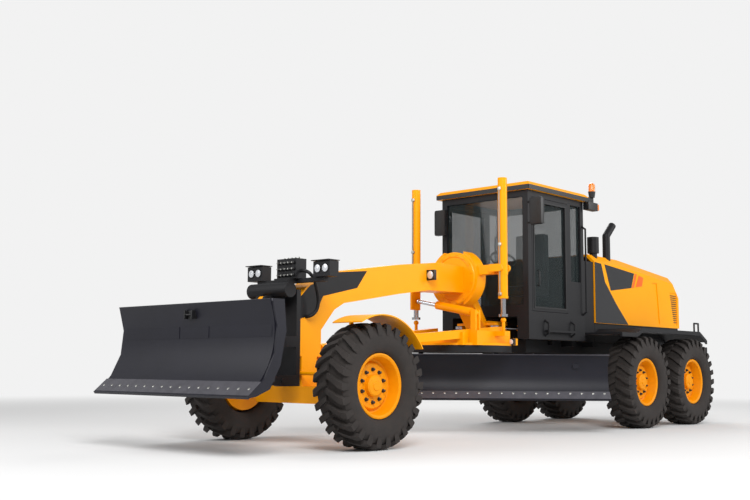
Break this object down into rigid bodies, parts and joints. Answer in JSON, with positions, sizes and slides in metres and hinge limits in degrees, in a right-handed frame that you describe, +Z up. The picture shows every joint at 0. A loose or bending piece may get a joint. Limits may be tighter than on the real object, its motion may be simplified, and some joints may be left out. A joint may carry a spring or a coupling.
{
  "type": "motor grader",
  "caption": "Articulated six-wheel motor grader with a front dozer blade, a slewing moldboard under a gooseneck frame and an enclosed cab.",
  "frame": {"origin": "on the ground, below the centre of the machine's overall length and width", "axes": "+X forward, +Y to the machine's left, +Z up"},
  "size_m": [10.6303, 3.2539, 3.63],
  "materials": {
    "tyre_rubber": "matte",
    "hose_rubber": "matte",
    "rim_yellow": "satin",
    "yellow_paint": "gloss",
    "dark_paint": "satin",
    "blade_grey": "satin",
    "chrome_rod": "polished",
    "tinted_glass": "polished",
    "seat_fabric": "matte"
  },
  "bodies": {
    "root": {"beacon": "dark_paint", "cab_glass": "tinted_glass", "cab_roof": "yellow_paint", "cab_shell": "dark_paint", "console": "dark_paint", "engine": "dark_paint", "platforms": "dark_paint", "rear_frame": "dark_paint", "seat": "seat_fabric", "tandems": "yellow_paint", "tower": "dark_paint"},
    "front": {"front_frame": "yellow_paint", "front_hose": "hose_rubber", "saddle": "yellow_paint", "front_axle": "yellow_paint", "dozer_upright": "dark_paint"},
    "wheel_front_left": {"tyre_front_left": "tyre_rubber", "rim_front_left": "rim_yellow"},
    "lean_left": {"lean_carrier_left": "yellow_paint"},
    "steer_left": {"knuckle_left": "yellow_paint"},
    "wheel_middle_left": {"tyre_middle_left": "tyre_rubber", "rim_middle_left": "rim_yellow"},
    "wheel_rear_left": {"tyre_rear_left": "tyre_rubber", "rim_rear_left": "rim_yellow"},
    "wheel_front_right": {"tyre_front_right": "tyre_rubber", "rim_front_right": "rim_yellow"},
    "lean_right": {"lean_carrier_right": "yellow_paint"},
    "steer_right": {"knuckle_right": "yellow_paint"},
    "wheel_middle_right": {"tyre_middle_right": "tyre_rubber", "rim_middle_right": "rim_yellow"},
    "wheel_rear_right": {"tyre_rear_right": "tyre_rubber", "rim_rear_right": "rim_yellow"},
    "tie_rod": {"tie_rod": "dark_paint"},
    "lean_bar": {"lean_bar": "yellow_paint"},
    "hitch_barrel_left": {"hitch_barrel_left": "yellow_paint"},
    "hitch_rod_left": {"hitch_rod_left": "chrome_rod"},
    "hitch_barrel_right": {"hitch_barrel_right": "yellow_paint"},
    "hitch_rod_right": {"hitch_rod_right": "chrome_rod"},
    "drawbar_socket": {"drawbar_socket": "yellow_paint"},
    "drawbar": {"drawbar": "yellow_paint"},
    "lift_barrel_left": {"lift_barrel_left": "yellow_paint"},
    "lift_rod_left": {"lift_rod_left": "chrome_rod"},
    "lift_barrel_right": {"lift_barrel_right": "yellow_paint"},
    "lift_rod_right": {"lift_rod_right": "chrome_rod"},
    "shift_barrel": {"shift_barrel": "yellow_paint"},
    "shift_rod": {"shift_rod": "chrome_rod"},
    "circle": {"circle": "dark_paint", "side_shift_barrel": "yellow_paint"},
    "moldboard": {"moldboard": "blade_grey"},
    "dozer_arms": {"dozer_arms": "dark_paint"},
    "dozer_links": {"dozer_links": "dark_paint"},
    "dozer_blade": {"dozer_blade": "blade_grey"},
    "dozer_barrel": {"dozer_barrel": "yellow_paint"},
    "dozer_rod": {"dozer_rod": "chrome_rod"},
    "door_left": {"door_left": "dark_paint", "door_glass_left": "tinted_glass"},
    "door_right": {"door_right": "dark_paint", "door_glass_right": "tinted_glass"},
    "hood": {"hood": "yellow_paint", "stacks": "dark_paint"}
  },
  "joints": [
    {"name": "articulation", "type": "hinge", "parent": "root", "child": "front", "pos_m": [-0.4, 0, 1.435], "axis": [0, 0, 1], "range_deg": [-25, 25]},
    {"name": "wheel_lean_left", "type": "hinge", "parent": "front", "child": "lean_left", "pos_m": [3.45, 0.7, 0.56], "axis": [1, 0, 0], "range_deg": [-16, 16]},
    {"name": "steering_left", "type": "hinge", "parent": "lean_left", "child": "steer_left", "pos_m": [3.45, 0.845, 0.675], "axis": [0, 0, 1], "range_deg": [-40, 40]},
    {"name": "roll_front_left", "type": "hinge", "parent": "steer_left", "child": "wheel_front_left", "pos_m": [3.45, 1.095, 0.675], "axis": [0, 1, 0], "continuous": true},
    {"name": "roll_middle_left", "type": "hinge", "parent": "root", "child": "wheel_middle_left", "pos_m": [-2.388, 1.15, 0.675], "axis": [0, 1, 0], "continuous": true},
    {"name": "roll_rear_left", "type": "hinge", "parent": "root", "child": "wheel_rear_left", "pos_m": [-3.93, 1.15, 0.675], "axis": [0, 1, 0], "continuous": true},
    {"name": "wheel_lean_right", "type": "hinge", "parent": "front", "child": "lean_right", "pos_m": [3.45, -0.7, 0.56], "axis": [1, 0, 0], "range_deg": [-16, 16]},
    {"name": "steering_right", "type": "hinge", "parent": "lean_right", "child": "steer_right", "pos_m": [3.45, -0.845, 0.675], "axis": [0, 0, 1], "range_deg": [-40, 40]},
    {"name": "roll_front_right", "type": "hinge", "parent": "steer_right", "child": "wheel_front_right", "pos_m": [3.45, -1.095, 0.675], "axis": [0, 1, 0], "continuous": true},
    {"name": "roll_middle_right", "type": "hinge", "parent": "root", "child": "wheel_middle_right", "pos_m": [-2.388, -1.15, 0.675], "axis": [0, 1, 0], "continuous": true},
    {"name": "roll_rear_right", "type": "hinge", "parent": "root", "child": "wheel_rear_right", "pos_m": [-3.93, -1.15, 0.675], "axis": [0, 1, 0], "continuous": true},
    {"name": "tie_rod_slide", "type": "slide", "parent": "front", "child": "tie_rod", "axis": [0, -1, 0], "range_m": [-0.14241, 0.14241]},
    {"name": "lean_bar_slide", "type": "slide", "parent": "front", "child": "lean_bar", "axis": [0, -1, 0], "range_m": [-0.06715, 0.06715]},
    {"name": "hitch_swing_left", "type": "hinge", "parent": "root", "child": "hitch_barrel_left", "pos_m": [-1.11, 0.4, 1.43], "axis": [0, 0, 1], "range_deg": [-8.78, 8.78]},
    {"name": "hitch_slide_left", "type": "slide", "parent": "hitch_barrel_left", "child": "hitch_rod_left", "axis": [0.9962, -0.0874, 0], "range_m": [-0.14653, 0.14653]},
    {"name": "hitch_swing_right", "type": "hinge", "parent": "root", "child": "hitch_barrel_right", "pos_m": [-1.11, -0.4, 1.43], "axis": [0, 0, 1], "range_deg": [-8.78, 8.78]},
    {"name": "hitch_slide_right", "type": "slide", "parent": "hitch_barrel_right", "child": "hitch_rod_right", "axis": [0.9962, 0.0874, 0], "range_m": [-0.14653, 0.14653]},
    {"name": "drawbar_lift", "type": "hinge", "parent": "front", "child": "drawbar_socket", "pos_m": [3.13, 0, 1.04], "axis": [0, 1, 0], "range_deg": [-9, 0]},
    {"name": "drawbar_swing", "type": "hinge", "parent": "drawbar_socket", "child": "drawbar", "pos_m": [2.94, 0, 1.04], "axis": [0, 0, 1], "range_deg": [-7, 7]},
    {"name": "lift_swing_left", "type": "hinge", "parent": "front", "child": "lift_barrel_left", "pos_m": [0.47, 0.75, 2.19], "axis": [1, 0, 0], "range_deg": [-21.8, 21.8]},
    {"name": "lift_slide_left", "type": "slide", "parent": "lift_barrel_left", "child": "lift_rod_left", "axis": [0, 0, -1], "range_m": [-0.001, 0.42247]},
    {"name": "lift_swing_right", "type": "hinge", "parent": "front", "child": "lift_barrel_right", "pos_m": [0.47, -0.75, 2.19], "axis": [1, 0, 0], "range_deg": [-21.8, 21.8]},
    {"name": "lift_slide_right", "type": "slide", "parent": "lift_barrel_right", "child": "lift_rod_right", "axis": [0, 0, -1], "range_m": [-0.001, 0.42247]},
    {"name": "shift_tilt", "type": "hinge", "parent": "drawbar", "child": "shift_barrel", "pos_m": [0.83, 0.56, 1.585], "axis": [-1, 0, 0], "range_deg": [-0.1, 18.1]},
    {"name": "shift_slide", "type": "slide", "parent": "shift_barrel", "child": "shift_rod", "axis": [0, -0.9819, 0.1892], "range_m": [-0.26477, 0.26477]},
    {"name": "circle_turn", "type": "hinge", "parent": "drawbar", "child": "circle", "pos_m": [0.47, 0, 1.12], "axis": [0, 0, 1], "continuous": true},
    {"name": "blade_side_shift", "type": "slide", "parent": "circle", "child": "moldboard", "axis": [0.682, -0.7314, 0], "range_m": [-0.5, 0.5]},
    {"name": "dozer_lift", "type": "hinge", "parent": "front", "child": "dozer_arms", "pos_m": [4.01, 0, 0.72], "axis": [0, 1, 0], "range_deg": [0, 40]},
    {"name": "dozer_link_turn", "type": "hinge", "parent": "front", "child": "dozer_links", "pos_m": [4.01, 0, 1.15], "axis": [0, 1, 0], "range_deg": [-0.1, 40.1]},
    {"name": "dozer_blade_turn", "type": "hinge", "parent": "dozer_arms", "child": "dozer_blade", "pos_m": [4.81, 0, 0.79], "axis": [0, 1, 0], "range_deg": [-40.1, 0.1]},
    {"name": "dozer_barrel_swing", "type": "hinge", "parent": "front", "child": "dozer_barrel", "pos_m": [4.01, 0, 1.6], "axis": [0, 1, 0], "range_deg": [-0.1, 9.77]},
    {"name": "dozer_rod_slide", "type": "slide", "parent": "dozer_barrel", "child": "dozer_rod", "axis": [0.4634, 0, -0.8862], "range_m": [-0.001, 0.24603]},
    {"name": "door_hinge_left", "type": "hinge", "parent": "root", "child": "door_left", "pos_m": [-1.14, 0.75, 2.4], "axis": [0, 0, 1], "range_deg": [0, 100]},
    {"name": "door_hinge_right", "type": "hinge", "parent": "root", "child": "door_right", "pos_m": [-1.14, -0.75, 2.4], "axis": [0, 0, -1], "range_deg": [0, 100]},
    {"name": "hood_hinge", "type": "hinge", "parent": "root", "child": "hood", "pos_m": [-5, 0, 1.56], "axis": [0, -1, 0], "range_deg": [0, 50]}
  ],
  "couplings": [
    {"joint": "wheel_lean_right", "follows": "wheel_lean_left", "ratio": 1},
    {"joint": "steering_right", "follows": "steering_left", "ratio": 1},
    {"joint": "tie_rod_slide", "follows": "steering_left", "m_per_rad": 0.20256},
    {"joint": "lean_bar_slide", "follows": "wheel_lean_left", "m_per_rad": 0.23689},
    {"joint": "hitch_swing_left", "follows": "articulation", "ratio": 0.34736},
    {"joint": "hitch_slide_left", "follows": "articulation", "m_per_rad": -0.33354},
    {"joint": "hitch_swing_right", "follows": "articulation", "ratio": 0.34736},
    {"joint": "hitch_slide_right", "follows": "articulation", "m_per_rad": 0.33354},
    {"joint": "lift_swing_left", "follows": "drawbar_swing", "ratio": -3.1},
    {"joint": "lift_slide_left", "follows": "drawbar_lift", "m_per_rad": -2.6832},
    {"joint": "lift_swing_right", "follows": "drawbar_swing", "ratio": -3.1},
    {"joint": "lift_slide_right", "follows": "drawbar_lift", "m_per_rad": -2.6832},
    {"joint": "shift_tilt", "follows": "drawbar_lift", "ratio": -1.933},
    {"joint": "shift_slide", "follows": "drawbar_swing", "m_per_rad": -2.159},
    {"joint": "dozer_link_turn", "follows": "dozer_lift", "ratio": 1},
    {"joint": "dozer_blade_turn", "follows": "dozer_lift", "ratio": -1},
    {"joint": "dozer_barrel_swing", "follows": "dozer_lift", "ratio": 0.24179},
    {"joint": "dozer_rod_slide", "follows": "dozer_lift", "m_per_rad": 0.35098}
  ]
}
